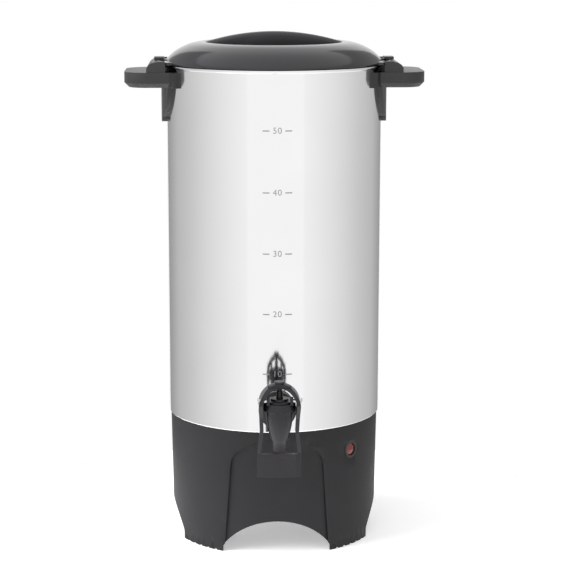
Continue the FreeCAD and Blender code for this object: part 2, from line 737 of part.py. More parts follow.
def corner_at(half, inward):
    inset = abs(inward) * (1 - math.sqrt(0.5))
    return (half + math.copysign(inset, inward), LEG_BOTTOM_Z + inset)


def grip_plan(inset, low, high):
    reach = GRIP_REACH - inset
    half = GRIP_HALF_WIDTH - inset
    corner = GRIP_CORNER_R - inset
    bend = corner * (1 - math.sqrt(0.5))
    face = face_of(xy, (0, -half), (reach - corner, -half),
                   ((reach - bend, -half + bend), (reach, -half + corner)),
                   (reach, half - corner),
                   ((reach - bend, half - bend), (reach - corner, half)), (0, half))
    return moved(face.extrude(Z_AXIS * (high - low)), z=low)


def grip_shelf():
    block = grip_plan(0, GRIP_BOTTOM_Z, GRIP_TOP_Z)
    low_edges = [edge for edge in block.Edges
                 if all(abs(vertex.Point.z - GRIP_BOTTOM_Z) < 1e-6 for vertex in edge.Vertexes)
                 and max(vertex.Point.x for vertex in edge.Vertexes) > GRIP_REACH - GRIP_CORNER_R + 1]
    block = block.makeChamfer(GRIP_CHAMFER, low_edges)
    hollow = grip_plan(GRIP_WALL, GRIP_BOTTOM_Z - 1, GRIP_TOP_Z - GRIP_WALL)
    lip = grip_plan(GRIP_CHAMFER + GRIP_WALL, GRIP_BOTTOM_Z - 1, GRIP_BOTTOM_Z + GRIP_WALL)
    inner = disc(VESSEL_R + PAD_T, GRIP_BOTTOM_Z - 2, GRIP_TOP_Z)
    hollow = hollow.cut(grip_plan(0, GRIP_BOTTOM_Z - 2, GRIP_BOTTOM_Z + GRIP_WALL)).fuse(lip).cut(inner)
    return block.cut(hollow)


def lug():
    # The ridge that the lid's ears slide behind, hollow from below, with a hook over the notch.
    low = GRIP_TOP_Z - GRIP_WALL
    inner_x = LUG_INNER_R * 0.7
    profile = face_of(xz, (inner_x, low), (LUG_OUTER_X, low), (LUG_OUTER_X, LUG_SHOULDER_Z),
                      ((LUG_OUTER_X - 1.6, LUG_SHOULDER_Z + 2.6), (LUG_OUTER_X - 5, LUG_TOP_Z - 1.2)),
                      (LUG_INNER_R, LUG_TOP_Z), (inner_x, LUG_TOP_Z))
    ridge = moved(profile.extrude(Y_AXIS * (2 * LUG_HALF_WIDTH)), y=-LUG_HALF_WIDTH)
    ridge = ridge.cut(disc(LUG_INNER_R, GRIP_TOP_Z, LUG_TOP_Z + 1))
    hook_top = LUG_TOP_Z + HOOK_T
    hook = box((HOOK_INNER_R * 0.8, LUG_OUTER_X - 6), (-HOOK_HALF_WIDTH, HOOK_HALF_WIDTH),
               (LUG_TOP_Z - 0.1, hook_top)).cut(disc(HOOK_INNER_R, LUG_TOP_Z - 1, hook_top + 1))
    gussets = [box((0, LUG_INNER_R + 2), (side * GUSSET_Y - GUSSET_T / 2, side * GUSSET_Y + GUSSET_T / 2),
                   (GRIP_TOP_Z - 0.5, LID_EDGE_Z - LID_SEAT_GAP - 0.6)) for side in (-1, 1)]
    gusset_inner = disc(RIM_OUTER_R + 0.4, GRIP_TOP_Z - 1, LUG_TOP_Z)
    gussets = [gusset.cut(gusset_inner) for gusset in gussets]
    return fused([ridge, hook] + gussets)


def lug_hollow():
    reach = (VESSEL_R + PAD_T + 4, LUG_OUTER_X - LUG_WALL)
    block = box((0, reach[1]), (-LUG_HALF_WIDTH + LUG_WALL, LUG_HALF_WIDTH - LUG_WALL),
                (GRIP_TOP_Z - GRIP_WALL - 1, LUG_SHOULDER_Z))
    return block.cut(disc(LUG_INNER_R + LUG_WALL, GRIP_TOP_Z - GRIP_WALL - 2, LUG_TOP_Z))


def side_grip():
    pad = ring(VESSEL_R, VESSEL_R + PAD_T, GRIP_BOTTOM_Z, GRIP_TOP_Z).common(
        wedge(PAD_HALF_DEG, GRIP_REACH, GRIP_BOTTOM_Z, GRIP_TOP_Z))
    leg = ring(VESSEL_R, VESSEL_R + PAD_T, LEG_BOTTOM_Z, GRIP_TOP_Z).common(leg_prism())
    whole = fused([grip_shelf(), pad, leg, lug()])
    seat = disc(VESSEL_R + GRIP_SEAT_GAP, LEG_BOTTOM_Z - 1, GRIP_TOP_Z + 0.5)
    bead = disc(RIM_OUTER_R + 0.4, RIM_Z - 2 * RIM_BEAD_R - 1.2, LUG_TOP_Z + 5)
    whole = whole.cut([seat, bead, lug_hollow()])
    for height in GRIP_SCREW_HEIGHTS:
        whole = whole.cut(rod(GRIP_SCREW_R, FreeCAD.Vector(VESSEL_R - 1, 0, height),
                              FreeCAD.Vector(VESSEL_R + GRIP_SCREW_BITE, 0, height)))
    return whole


def grip_screws():
    head_x = math.sqrt(VESSEL_INNER_R ** 2 - GRIP_SCREW_HEAD_R ** 2)
    screws = []
    for height in GRIP_SCREW_HEIGHTS:
        head = rod(GRIP_SCREW_HEAD_R, FreeCAD.Vector(head_x - GRIP_SCREW_HEAD_T, 0, height),
                   FreeCAD.Vector(head_x, 0, height))
        shank = rod(GRIP_SCREW_R, FreeCAD.Vector(head_x - 0.5, 0, height),
                    FreeCAD.Vector(VESSEL_R + GRIP_SCREW_BITE, 0, height))
        screw = head.fuse(shank)
        screws.append(screw)
        screws.append(turned(screw, 180))
    return Part.makeCompound(screws)


# Lid

def lid_edge_top():
    return LID_EDGE_Z + LID_EDGE_H


def lid_outer_steps():
    mid_shoulder = (LID_SHOULDER_R, LID_SHOULDER_Z)
    crest_run = LID_KNEE_R - LID_CREST_R
    crest_drop = LID_CREST_Z - LID_KNEE_Z
    crest_r = (crest_run ** 2 + crest_drop ** 2) / (2 * crest_drop)
    mid_x = LID_CREST_R + crest_run / 2
    mid_z = LID_CREST_Z - crest_r + math.sqrt(crest_r ** 2 - (crest_run / 2) ** 2)
    return mid_shoulder, (mid_x, mid_z)


def lid_dome():
    shoulder, crest = lid_outer_steps()
    mouth = WELL_MOUTH_ROUND
    round_mid = (LID_CREST_R - mouth * math.sqrt(0.5), LID_CREST_Z - mouth * (1 - math.sqrt(0.5)))
    well_top = (LID_CREST_R - mouth, LID_CREST_Z - mouth)
    skirt_out = RIM_INNER_R - LID_SKIRT_GAP
    skirt_in = skirt_out - LID_SKIRT_T
    wall = LID_WALL
    dome = spun((LID_BRIM_R, LID_EDGE_Z), (LID_BRIM_R, lid_edge_top()),
                (shoulder, (LID_KNEE_R, LID_KNEE_Z)),
                (crest, (LID_CREST_R, LID_CREST_Z)),
                (round_mid, well_top),
                (WELL_FLOOR_R + 2, WELL_FLOOR_Z + 2),
                (WELL_FLOOR_R - 1, WELL_FLOOR_Z),
                (0, WELL_FLOOR_Z), (0, WELL_FLOOR_Z - wall),
                (WELL_FLOOR_R, WELL_FLOOR_Z - wall),
                (WELL_FLOOR_R + wall + 1.6, WELL_FLOOR_Z),
                (well_top[0] + wall, well_top[1] - 0.4),
                (LID_CREST_R + 0.4, LID_CREST_Z - wall - 0.4),
                (LID_KNEE_R - 5, LID_KNEE_Z - wall + 1.7),
                (LID_KNEE_R + 4, LID_KNEE_Z - wall - 2.4),
                (skirt_in - 1, lid_edge_top() + wall),
                (skirt_in, LID_EDGE_Z), (skirt_in, LID_EDGE_Z - LID_SKIRT_DEPTH),
                (skirt_out, LID_EDGE_Z - LID_SKIRT_DEPTH), (skirt_out, LID_EDGE_Z))
    band = ring(LID_BRIM_R - 3, EAR_R, LID_EDGE_Z, LID_EDGE_Z + EAR_T)
    tabs = band.common(wedge(EAR_OUTER_DEG, EAR_R + 5, LID_EDGE_Z - 1, LID_EDGE_Z + EAR_T + 1))
    tabs = tabs.cut(wedge(EAR_NOTCH_DEG, EAR_R + 6, LID_EDGE_Z - 2, LID_EDGE_Z + EAR_T + 2))
    bore = disc(LID_SCREW_R + RUNNING_GAP, WELL_FLOOR_Z - wall - 1, WELL_FLOOR_Z + 1)
    return fused([dome, tabs, turned(tabs, 180)]).cut(bore)


def lid_bar(dome):
    # The lens-shaped bar that crosses the well.
    foot = WELL_FLOOR_R - 1.4
    shoulder = LID_CREST_R - WELL_MOUTH_ROUND - BAR_WALL_GAP
    tip = LID_CREST_R - 1.4
    half = BAR_T / 2
    face = face_of(xz, (-foot, WELL_FLOOR_Z), (-shoulder, LID_CREST_Z - WELL_MOUTH_ROUND),
                   (-tip, LID_CREST_Z - 0.6), ((0, BAR_TOP_Z), (tip, LID_CREST_Z - 0.6)),
                   (shoulder, LID_CREST_Z - WELL_MOUTH_ROUND), (foot, WELL_FLOOR_Z))
    bar = moved(face.extrude(Y_AXIS * BAR_T), y=-half)
    crest = [edge for edge in bar.Edges
             if abs(edge.Curve.Radius if hasattr(edge.Curve, "Radius") else 0) > LID_CREST_R]
    bar = bar.makeFillet(BAR_ROUND, crest)
    bite = disc(LID_SCREW_R + RUNNING_GAP, WELL_FLOOR_Z - 1, WELL_FLOOR_Z + LID_SCREW_BITE + 0.5)
    return bar.cut([dome, bite])


def lid_screw():
    seat = WELL_FLOOR_Z - LID_WALL - RUNNING_GAP
    head = disc(LID_SCREW_HEAD_R, seat - LID_SCREW_HEAD_T, seat)
    return head.fuse(disc(LID_SCREW_R, seat - 0.5, WELL_FLOOR_Z + LID_SCREW_BITE))


# Brewing parts

def pump_tube():
    foot = WELL_BOTTOM_Z + WELL_WALL + BELL_LIFT
    bell_top = foot + BELL_H
    inner = TUBE_R - TUBE_WALL
    bell = spun((BELL_R, foot), (BELL_R, foot + 3),
                ((BELL_R * 0.7, foot + BELL_H * 0.62), (TUBE_R, bell_top)),
                (TUBE_R, TUBE_TOP_Z), (inner, TUBE_TOP_Z), (inner, bell_top - BELL_WALL),
                ((BELL_R * 0.7 - BELL_WALL, foot + BELL_H * 0.62 - BELL_WALL), (BELL_R - BELL_WALL, foot + 2)),
                (BELL_R - BELL_WALL, foot))
    shoulder_z = BASKET_FLOOR_Z - RUNNING_GAP
    shoulder = ring(TUBE_R - TUBE_WALL / 2, TUBE_SHOULDER_R, shoulder_z - TUBE_SHOULDER_T, shoulder_z)
    ports = [turned(Part.makeCylinder(2.0, BELL_R, FreeCAD.Vector(BELL_R / 2, 0, foot), X_AXIS), step * 90 + 45)
             for step in range(4)]
    return fused([bell, shoulder]).cut(ports)


def hole_ring_cuts(rings, low, high):
    cuts = []
    for radius, count in rings:
        for step in range(count):
            cuts.append(turned(moved(disc(HOLE_R, low, high), radius), step * 360 / count))
    return cuts


def sleeve_inner_r():
    return TUBE_R + BASKET_SLEEVE_GAP


def coffee_basket():
    floor_z = BASKET_FLOOR_Z
    inner = BASKET_R - BASKET_WALL
    corner = 5.0
    cup = spun((0, floor_z), (BASKET_R - corner, floor_z),
               (corner_point(BASKET_R, floor_z, corner), (BASKET_R, floor_z + corner)),
               (BASKET_R, BASKET_TOP_Z), (inner, BASKET_TOP_Z), (inner, floor_z + corner),
               (corner_point(inner, floor_z + BASKET_WALL, corner - BASKET_WALL),
                (BASKET_R - corner, floor_z + BASKET_WALL)),
               (0, floor_z + BASKET_WALL))
    lip = ring(inner, BASKET_R + BASKET_LIP, BASKET_TOP_Z - BASKET_WALL, BASKET_TOP_Z)
    sleeve = disc(sleeve_inner_r() + BASKET_SLEEVE_T, floor_z, floor_z + BASKET_SLEEVE_H)
    bore = disc(sleeve_inner_r(), floor_z - 1, floor_z + BASKET_SLEEVE_H + 1)
    cuts = hole_ring_cuts(BASKET_HOLE_RINGS, floor_z - 1, floor_z + BASKET_WALL + 1)
    return fused([cup, lip, sleeve]).cut([bore] + cuts)


def basket_cover():
    # Dished spreader whose rim hangs inside the basket and whose collar rides on the tube.
    top = BASKET_TOP_Z + RUNNING_GAP
    rim_r = BASKET_R - BASKET_WALL - COVER_GAP
    low = top - COVER_DISH
    cover = spun((sleeve_inner_r(), low - COVER_T), (rim_r, low - COVER_T),
                 (rim_r, top), (BASKET_R + BASKET_LIP, top), (BASKET_R + BASKET_LIP, top + COVER_T),
                 (rim_r - COVER_T, top + COVER_T), (rim_r - COVER_T, low),
                 (sleeve_inner_r() + COVER_T, low), (sleeve_inner_r() + COVER_T, low + COVER_RIM_H),
                 (sleeve_inner_r(), low + COVER_RIM_H))
    return cover.cut(hole_ring_cuts(COVER_HOLE_RINGS, low - COVER_T - 1, low + 1))


# Tap

def tap_face_y():
    # The back face of the flange, just clear of the curved wall and its washer.
    return -(VESSEL_R + WASHER_T)


def tap_body():
    goblet = spun((0, SPOUT_BOTTOM_Z), (SPOUT_R, SPOUT_BOTTOM_Z), (SPOUT_R, NECK_Z - 2.5),
                  (NECK_R, NECK_Z + 1),
                  ((NECK_R + (GOBLET_R - NECK_R) * 0.72, NECK_Z + 13), (GOBLET_R, COLLAR_TOP_Z - COLLAR_H)),
                  (COLLAR_R, COLLAR_TOP_Z - COLLAR_H + 0.8), (COLLAR_R, COLLAR_TOP_Z), (0, COLLAR_TOP_Z))
    goblet = moved(goblet, y=TAP_Y)
    inner_end = -(VESSEL_INNER_R - WASHER_T - TAP_NUT_T - SHANK_TAIL)
    shank = rod(SHANK_R, FreeCAD.Vector(0, TAP_Y, TAP_HOLE_Z), FreeCAD.Vector(0, inner_end, TAP_HOLE_Z))
    flange = rod(FLANGE_R, FreeCAD.Vector(0, tap_face_y() - FLANGE_T, TAP_HOLE_Z),
                 FreeCAD.Vector(0, tap_face_y(), TAP_HOLE_Z))
    whole = fused([goblet, shank, flange])
    chamber = spun((0, SPOUT_BOTTOM_Z - 1), (SPOUT_BORE_R, SPOUT_BOTTOM_Z - 1), (SPOUT_BORE_R, SEAT_Z - 2),
                   (SPOUT_BORE_R + 1.4, SEAT_Z), (CHAMBER_R - 1.2, SEAT_Z),
                   (CHAMBER_R, SEAT_Z + 6), (CHAMBER_R, COLLAR_TOP_Z - BONNET_PLUG_H - 1),
                   (COLLAR_R - 2.5, COLLAR_TOP_Z - BONNET_PLUG_H - 1), (COLLAR_R - 2.5, COLLAR_TOP_Z + 1),
                   (0, COLLAR_TOP_Z + 1))
    bore = rod(SHANK_BORE_R, FreeCAD.Vector(0, TAP_Y, TAP_HOLE_Z), FreeCAD.Vector(0, inner_end + 1, TAP_HOLE_Z))
    return whole.cut([moved(chamber, y=TAP_Y), bore])


def tap_washer(outer):
    hole = SHANK_R + SHANK_GAP / 2
    if outer:
        block = rod(FLANGE_R - 0.8, FreeCAD.Vector(0, tap_face_y(), TAP_HOLE_Z),
                    FreeCAD.Vector(0, tap_face_y() + WASHER_T + 4, TAP_HOLE_Z))
        block = block.cut(disc(VESSEL_R, 0, RIM_Z))
    else:
        block = rod(INNER_WASHER_R, FreeCAD.Vector(0, -VESSEL_INNER_R - 1, TAP_HOLE_Z),
                    FreeCAD.Vector(0, -VESSEL_INNER_R + WASHER_T, TAP_HOLE_Z))
        block = block.common(disc(VESSEL_INNER_R, 0, RIM_Z))
    return block.cut(rod(hole, FreeCAD.Vector(0, TAP_Y, TAP_HOLE_Z), FreeCAD.Vector(0, 0, TAP_HOLE_Z)))


def tap_nut():
    start = -VESSEL_INNER_R + WASHER_T
    nut = hexagon(TAP_NUT_FLATS, FreeCAD.Vector(0, start, TAP_HOLE_Z),
                  FreeCAD.Vector(0, start + TAP_NUT_T, TAP_HOLE_Z))
    return nut.cut(rod(SHANK_R + THREAD_GAP, FreeCAD.Vector(0, start - 1, TAP_HOLE_Z),
                       FreeCAD.Vector(0, start + TAP_NUT_T + 1, TAP_HOLE_Z)))


def strut_half():
    # Inner half width of the lever's sides at the top of the pivot's knuckle.
    drop = LEVER_PIVOT_Z + KNUCKLE_R - LEVER_HOOP_Z
    inner = LEVER_HOOP_R - LEVER_BAND
    return math.sqrt(inner ** 2 - drop ** 2) if drop > 0 else inner


def tap_bonnet():
    plug_r = COLLAR_R - 2.5 - BONNET_GAP
    cap = disc(COLLAR_R - 1.2, COLLAR_TOP_Z, COLLAR_TOP_Z + BONNET_T * 0.5)
    crown = disc(plug_r - 3.5, COLLAR_TOP_Z, BONNET_TOP_Z)
    plug = disc(plug_r, COLLAR_TOP_Z - BONNET_PLUG_H, COLLAR_TOP_Z + 0.5)
    bonnet = moved(fused([cap, crown, plug]), y=TAP_Y)
    outer = strut_half() - EAR_PLATE_GAP
    ears = []
    for side in (-1, 1):
        span = sorted((side * (outer - EAR_PLATE_T), side * outer))
        plate = box(span, (PIVOT_Y - KNUCKLE_R, TAP_Y - 1), (COLLAR_TOP_Z, LEVER_PIVOT_Z))
        knuckle = rod(KNUCKLE_R, FreeCAD.Vector(span[0], PIVOT_Y, LEVER_PIVOT_Z),
                      FreeCAD.Vector(span[1], PIVOT_Y, LEVER_PIVOT_Z))
        ears.append(plate.fuse(knuckle))
    whole = fused([bonnet] + ears)
    stem_hole = moved(disc(STEM_R + STEM_GAP, COLLAR_TOP_Z - BONNET_PLUG_H - 1, BONNET_TOP_Z + 1), y=TAP_Y)
    pin_hole = rod(PIN_R, FreeCAD.Vector(-30, PIVOT_Y, LEVER_PIVOT_Z), FreeCAD.Vector(30, PIVOT_Y, LEVER_PIVOT_Z))
    return whole.cut([stem_hole, pin_hole])


def lever_pins():
    inner = strut_half() - EAR_PLATE_GAP - EAR_PLATE_T
    pins = []
    for side in (-1, 1):
        start = FreeCAD.Vector(side * inner, PIVOT_Y, LEVER_PIVOT_Z)
        end = FreeCAD.Vector(side * (LEVER_HOOP_R + EAR_PLATE_GAP), PIVOT_Y, LEVER_PIVOT_Z)
        head = FreeCAD.Vector(side * (LEVER_HOOP_R + EAR_PLATE_GAP + PIN_HEAD_T), PIVOT_Y, LEVER_PIVOT_Z)
        pins.append(rod(PIN_R, start, head).fuse(rod(PIN_HEAD_R, end, head)))
    return Part.makeCompound(pins)


def lever_front_face(inset):
    # The stirrup seen from the front: hoop, waist and paddle width.
    r = LEVER_HOOP_R - inset
    waist = LEVER_WAIST_HALF - inset
    low = PADDLE_TOP_Z + (0.01 if inset else 0)
    half = PADDLE_HALF_WIDTH - inset
    if inset:
        return face_of(xz, (-half, low), (-waist, LEVER_WAIST_Z), (-r, LEVER_HOOP_Z),
                       ((0, LEVER_HOOP_Z + r), (r, LEVER_HOOP_Z)), (waist, LEVER_WAIST_Z), (half, low))
    return face_of(xz, (-half, PADDLE_BOTTOM_Z), (-half, low), (-waist, LEVER_WAIST_Z), (-r, LEVER_HOOP_Z),
                   ((0, LEVER_HOOP_Z + r), (r, LEVER_HOOP_Z)), (waist, LEVER_WAIST_Z), (half, low),
                   (half, PADDLE_BOTTOM_Z))


def lever_side_face():
    # The stirrup seen from the side: a crown over the stem, a cheek at the pivot, then a leaning strut.
    back = TAP_Y + LEVER_CROWN_BACK
    front = PIVOT_Y - 3.4
    foot = TAP_Y + LEVER_BACK_LEAN
    return face_of(yz, (TAP_Y - 5, HOOP_TOP_Z + 1), (back, HOOP_TOP_Z + 1), (back, LEVER_HOOP_Z + 6),
                   (TAP_Y + LEVER_T / 2, LEVER_HOOP_Z - 12),
                   (foot + PADDLE_T / 2, PADDLE_TOP_Z), (foot + PADDLE_T / 2, PADDLE_BOTTOM_Z - 1),
                   (foot - PADDLE_T / 2, PADDLE_BOTTOM_Z - 1), (foot - PADDLE_T / 2, PADDLE_TOP_Z),
                   (TAP_Y - LEVER_T / 2, LEVER_HOOP_Z - 12),
                   (front, LEVER_PIVOT_Z - 4), (front, LEVER_PIVOT_Z + 3), (TAP_Y - 5, HOOP_TOP_Z - 3))


def tap_lever():
    reach = 60
    frame = lever_front_face(0).extrude(Y_AXIS * 2 * reach)
    frame.translate(Y_AXIS * (TAP_Y - reach))
    window = lever_front_face(LEVER_BAND).extrude(Y_AXIS * 2 * reach)
    window.translate(Y_AXIS * (TAP_Y - reach))
    side = lever_side_face().extrude(X_AXIS * 2 * reach)
    side.translate(X_AXIS * -reach)
    lever = frame.cut(window).common(side)
    fork = fused([moved(disc(FORK_HALF, HOOP_TOP_Z - 10, HOOP_TOP_Z + 5), y=TAP_Y),
                  box((-FORK_HALF, FORK_HALF), (TAP_Y, TAP_Y + 20), (HOOP_TOP_Z - 10, HOOP_TOP_Z + 5))])
    pin_hole = rod(PIN_R + RUNNING_GAP, FreeCAD.Vector(-30, PIVOT_Y, LEVER_PIVOT_Z),
                   FreeCAD.Vector(30, PIVOT_Y, LEVER_PIVOT_Z))
    front_y = TAP_Y + LEVER_BACK_LEAN - PADDLE_T / 2
    bevels = []
    for side_sign in (-1, 1):
        edge = side_sign * PADDLE_HALF_WIDTH
        face = face_of(xy, (edge - side_sign * 2.4 * PADDLE_BEVEL, front_y), (edge + side_sign, front_y - 1),
                       (edge + side_sign, front_y + PADDLE_BEVEL))
        bevels.append(moved(face.extrude(Z_AXIS * (PADDLE_TOP_Z - PADDLE_BOTTOM_Z + 2)), z=PADDLE_BOTTOM_Z - 1))
    return lever.cut([fork, pin_hole] + bevels)


def valve_stem():
    neck_low = HOOP_TOP_Z - LEVER_BAND - 3.0
    head_low = HOOP_TOP_Z + STEM_HEAD_GAP
    stem = fused([disc(STEM_R, SEAT_Z + CUP_WALL + 1, neck_low),
                  disc(STEM_NECK_R, neck_low - 1, head_low + 0.5),
                  disc(STEM_HEAD_R, head_low, head_low + STEM_HEAD_T)])
    return moved(stem, y=TAP_Y)


def seat_cup():
    low = SEAT_Z + 0.1
    cup = spun((0, low + 1.2), (CUP_R - 2.4, low), (CUP_R, low + 2), (CUP_R, low + CUP_H),
               (CUP_R - CUP_WALL, low + CUP_H), (CUP_R - CUP_WALL, low + 3.4), (0, low + 3.4))
    socket = disc(STEM_R, SEAT_Z + CUP_WALL + 1, low + CUP_H + 1)
    return moved(cup.cut(socket), y=TAP_Y)


def build():
    grip = side_grip()
    dome = lid_dome()
    return {
        "vessel": vessel(),
        "heating_well": heating_well(),
        "heating_element": heating_element(),
        "element_clamp": element_clamp(),
        "clamp_nut": stud_nut(clamp_bottom_z()),
        "centre_stud": centre_stud(),
        "thermostat": thermostat(),
        "thermostat_clip": thermostat_clip(),
        "thermal_fuse": thermal_fuse(),
        "fuse_clip": fuse_clip(),
        "base_shell": base_shell(),
        "base_plate": base_plate(),
        "base_nut": stud_nut(PLATE_LEDGE_Z - PLATE_T),
        "inlet_housing": inlet_housing(),
        "inlet_pins": inlet_pins(),
        "live_lead": lead(-1),
        "neutral_lead": lead(1),
        "lamp_lens": lamp_lens(),
        "lamp_bezel": lamp_bezel(),
        "lamp_bulb": lamp_bulb(),
        "lamp_clip": lamp_clip(),
        "grip_right": grip,
        "grip_left": turned(grip, 180),
        "grip_screws": grip_screws(),
        "tap_body": tap_body(),
        "tap_washer_outer": tap_washer(True),
        "tap_washer_inner": tap_washer(False),
        "tap_nut": tap_nut(),
        "tap_bonnet": tap_bonnet(),
        "lever_pins": lever_pins(),
        "tap_lever": tap_lever(),
        "valve_stem": valve_stem(),
        "seat_cup": seat_cup(),
        "pump_tube": pump_tube(),
        "coffee_basket": coffee_basket(),
        "basket_cover": basket_cover(),
        "lid_screw": lid_screw(),
        "lid_dome": dome,
        "lid_bar": lid_bar(dome),
    }


os.makedirs("parts", exist_ok=True)
for node, shape in build().items():
    placed = moved(shape, y=ORIGIN_SHIFT_Y)
    placed.exportStep("parts/" + node + ".step")
    print(node, placed.isValid(), len(placed.Solids), round(placed.Volume))
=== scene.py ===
import json
import logging
import math
from collections.abc import Sequence
from dataclasses import dataclass, field
from enum import Enum

import bmesh
import bpy
from mathutils import Matrix, Vector


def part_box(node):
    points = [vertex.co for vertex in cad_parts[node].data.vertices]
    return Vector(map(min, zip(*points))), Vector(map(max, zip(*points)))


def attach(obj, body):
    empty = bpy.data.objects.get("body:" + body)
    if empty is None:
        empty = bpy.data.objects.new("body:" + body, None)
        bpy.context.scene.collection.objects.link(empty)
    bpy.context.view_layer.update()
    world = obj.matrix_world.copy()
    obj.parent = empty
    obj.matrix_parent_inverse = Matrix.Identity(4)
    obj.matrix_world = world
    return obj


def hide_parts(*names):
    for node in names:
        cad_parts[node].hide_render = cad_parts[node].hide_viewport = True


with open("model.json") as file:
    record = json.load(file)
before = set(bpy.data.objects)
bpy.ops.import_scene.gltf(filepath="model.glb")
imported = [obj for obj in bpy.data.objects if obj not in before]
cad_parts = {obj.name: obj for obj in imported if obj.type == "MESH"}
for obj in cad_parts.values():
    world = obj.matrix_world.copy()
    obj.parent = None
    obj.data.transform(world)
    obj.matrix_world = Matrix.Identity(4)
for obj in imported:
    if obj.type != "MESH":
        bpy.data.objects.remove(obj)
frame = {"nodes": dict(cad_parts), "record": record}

LOG = logging.getLogger("coffee_urn")
MM = 0.001
AXIS_Y = (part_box("vessel")[0][1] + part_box("vessel")[1][1]) / 2
VESSEL_R = 95.3 * MM
Point = tuple[float, float]
SHARP_DEG = 32.0
MERGE_M = 2e-6
BEVEL_STEPS = 2
CLOUD_PER_M = 14.0
NOISE_DETAIL = 3.0
RELIEF_DEPTH_M = 0.0002
COAT_ROUGHNESS = 0.04
LEAST_ROUGHNESS = 0.02
TONE_ENDS = (0.3, 0.7)
STUDIO_GREYS = ((0.2, 0.86), (0.41, 0.73), (0.57, 0.63), (0.8, 0.52), (0.94, 0.35))


class Grain(Enum):
    """How the fine texture of a finish runs."""

    EVEN = (1.0, 1.0, 1.0)
    AROUND = (0.03, 0.03, 1.0)


@dataclass(frozen=True)
class Finish:
    """A surface finish with a slight change of tone and a fine relief.

    Args:
        name: name of the material.
        colour: main colour, linear red, green and blue.
        tone: how far the second colour departs from the main one.
        metallic: 1 for bare metal and 0 for the rest.
        roughness: middle roughness.
        rough_spread: how far the roughness changes over the surface.
        grain: direction of the fine texture.
        grain_per_m: fine texture waves per metre.
        relief: strength of the fine relief.
        coat: weight of a clear coat.
        specular: level of the mirror-like share.
        transmission: share of light that passes through.
        glow: strength of the piece's own light.
    """

    name: str
    colour: tuple[float, float, float]
    tone: float = 0.12
    metallic: float = 0.0
    roughness: float = 0.4
    rough_spread: float = 0.06
    grain: Grain = Grain.EVEN
    grain_per_m: float = 900.0
    relief: float = 0.05
    coat: float = 0.0
    specular: float = 0.5
    transmission: float = 0.0
    glow: float = 0.0

    def material(self) -> bpy.types.Material:
        """Return the finish's material, made once.

        Returns:
            The node material, whose patterns read Object coordinates.
        """
        found = bpy.data.materials.get("finish_" + self.name)
        if found:
            return found
        made = bpy.data.materials.new("finish_" + self.name)
        made.use_nodes = True
        nodes, links = made.node_tree.nodes, made.node_tree.links
        shader = nodes["Principled BSDF"]
        place = nodes.new("ShaderNodeTexCoord")
        turn = nodes.new("ShaderNodeMapping")
        turn.inputs["Scale"].default_value = self.grain.value
        links.new(place.outputs["Object"], turn.inputs["Vector"])
        cloud = self._noise(nodes, links, place.outputs["Object"], CLOUD_PER_M)
        fine = self._noise(nodes, links, turn.outputs["Vector"], self.grain_per_m)
        self._colour(nodes, links, shader, cloud)
        spread = nodes.new("ShaderNodeMapRange")
        spread.inputs["To Min"].default_value = max(LEAST_ROUGHNESS, self.roughness - self.rough_spread)
        spread.inputs["To Max"].default_value = self.roughness + self.rough_spread
        links.new(cloud, spread.inputs["Value"])
        links.new(spread.outputs["Result"], shader.inputs["Roughness"])
        bump = nodes.new("ShaderNodeBump")
        bump.inputs["Strength"].default_value = self.relief
        bump.inputs["Distance"].default_value = RELIEF_DEPTH_M
        links.new(fine, bump.inputs["Height"])
        links.new(bump.outputs["Normal"], shader.inputs["Normal"])
        shader.inputs["Metallic"].default_value = self.metallic
        shader.inputs["Specular IOR Level"].default_value = self.specular
        shader.inputs["Coat Weight"].default_value = self.coat
        shader.inputs["Coat Roughness"].default_value = COAT_ROUGHNESS
        shader.inputs["Transmission Weight"].default_value = self.transmission
        shader.inputs["Emission Color"].default_value = (*self.colour, 1.0)
        shader.inputs["Emission Strength"].default_value = self.glow
        return made

    def _noise(self, nodes: bpy.types.Nodes, links: bpy.types.NodeLinks,
               vector: bpy.types.NodeSocket, scale: float) -> bpy.types.NodeSocket:
        """Add a noise.

        Args:
            nodes: the material's nodes.
            links: the material's links.
            vector: the coordinates that it reads.
            scale: waves per metre.

        Returns:
            The noise's value.
        """
        noise = nodes.new("ShaderNodeTexNoise")
        noise.inputs["Scale"].default_value = scale
        noise.inputs["Detail"].default_value = NOISE_DETAIL
        links.new(vector, noise.inputs["Vector"])
        return noise.outputs["Fac"]

    def _colour(self, nodes: bpy.types.Nodes, links: bpy.types.NodeLinks,
                shader: bpy.types.Node, cloud: bpy.types.NodeSocket) -> None:
        """Link a slow change between two tones of the colour.

        Args:
            nodes: the material's nodes.
            links: the material's links.
            shader: the shader that takes the colour.
            cloud: the value that chooses the tone.
        """
        ramp = nodes.new("ShaderNodeValToRGB")
        shares = (1.0 - self.tone, 1.0 + self.tone)
        for stop, position, share in zip(ramp.color_ramp.elements, TONE_ENDS, shares):
            stop.position = position
            stop.color = (*(min(1.0, part * share) for part in self.colour), 1.0)
        links.new(cloud, ramp.inputs["Fac"])
        links.new(ramp.outputs["Color"], shader.inputs["Base Color"])


